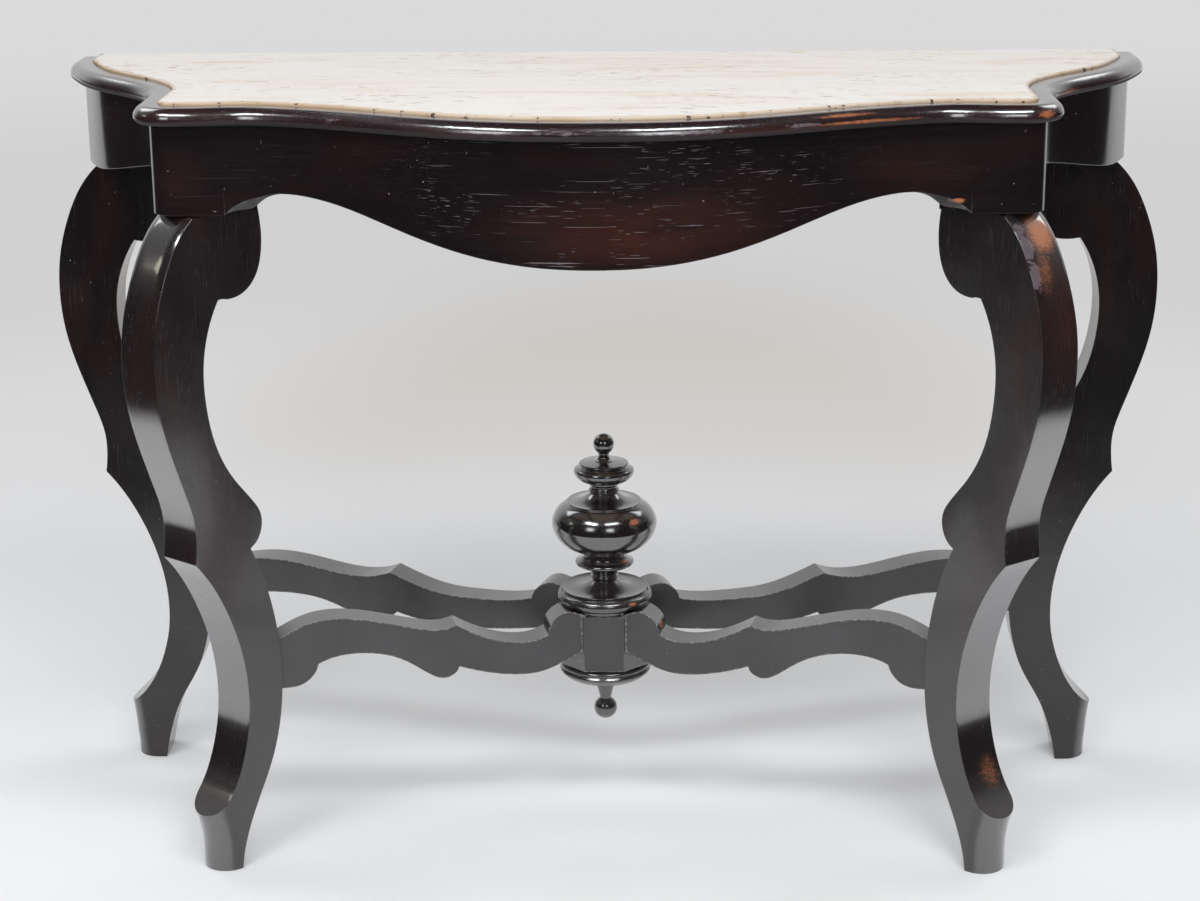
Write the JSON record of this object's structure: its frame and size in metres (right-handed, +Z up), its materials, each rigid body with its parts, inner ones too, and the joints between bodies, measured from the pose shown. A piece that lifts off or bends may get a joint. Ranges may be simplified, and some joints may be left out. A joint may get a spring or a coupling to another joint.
{
  "type": "pier table",
  "caption": "Free-standing pier table with a bowed serpentine frame, inset marble slab, sawn scroll legs and a crossed stretcher carrying a turned urn and drop.",
  "frame": {"origin": "on the floor under the middle of the table's bounding box", "axes": "+Z up, +X along the table's length to the right, -Y towards the front"},
  "size_m": [1.1924, 0.474, 0.8],
  "materials": {
    "marble": "honed, slightly worn",
    "polished_ebonised_wood": "high polish",
    "ebonised_wood": "semi-gloss polish, worn",
    "worn_ebonised_wood": "satin, worn",
    "secondary_wood": "bare"
  },
  "bodies": {
    "table": {"rim_front": "polished_ebonised_wood", "rim_left": "polished_ebonised_wood", "rim_right": "polished_ebonised_wood", "apron_front": "ebonised_wood", "apron_left": "ebonised_wood", "apron_right": "ebonised_wood", "back_rail": "ebonised_wood", "ear_block_left": "ebonised_wood", "ear_block_right": "ebonised_wood", "bearer_left": "secondary_wood", "bearer_right": "secondary_wood", "glue_blocks": "secondary_wood", "rear_block_left": "secondary_wood", "rear_block_right": "secondary_wood", "leg_pegs": "secondary_wood", "spindle": "secondary_wood", "leg_front_left": "ebonised_wood", "leg_front_right": "ebonised_wood", "leg_rear_left": "ebonised_wood", "leg_rear_right": "ebonised_wood", "arm_front_left": "worn_ebonised_wood", "arm_front_right": "worn_ebonised_wood", "arm_rear_left": "worn_ebonised_wood", "arm_rear_right": "worn_ebonised_wood", "stretcher_block": "worn_ebonised_wood", "urn_collar": "polished_ebonised_wood", "urn_body": "polished_ebonised_wood", "urn_finial": "polished_ebonised_wood", "drop_disc": "polished_ebonised_wood", "drop_pendant": "polished_ebonised_wood"},
    "slab": {"marble_top": "marble"}
  },
  "joints": [
    {"name": "slab_lift", "type": "slide", "parent": "table", "child": "slab", "axis": [0, 0, 1], "range_m": [0, 0.08]}
  ]
}
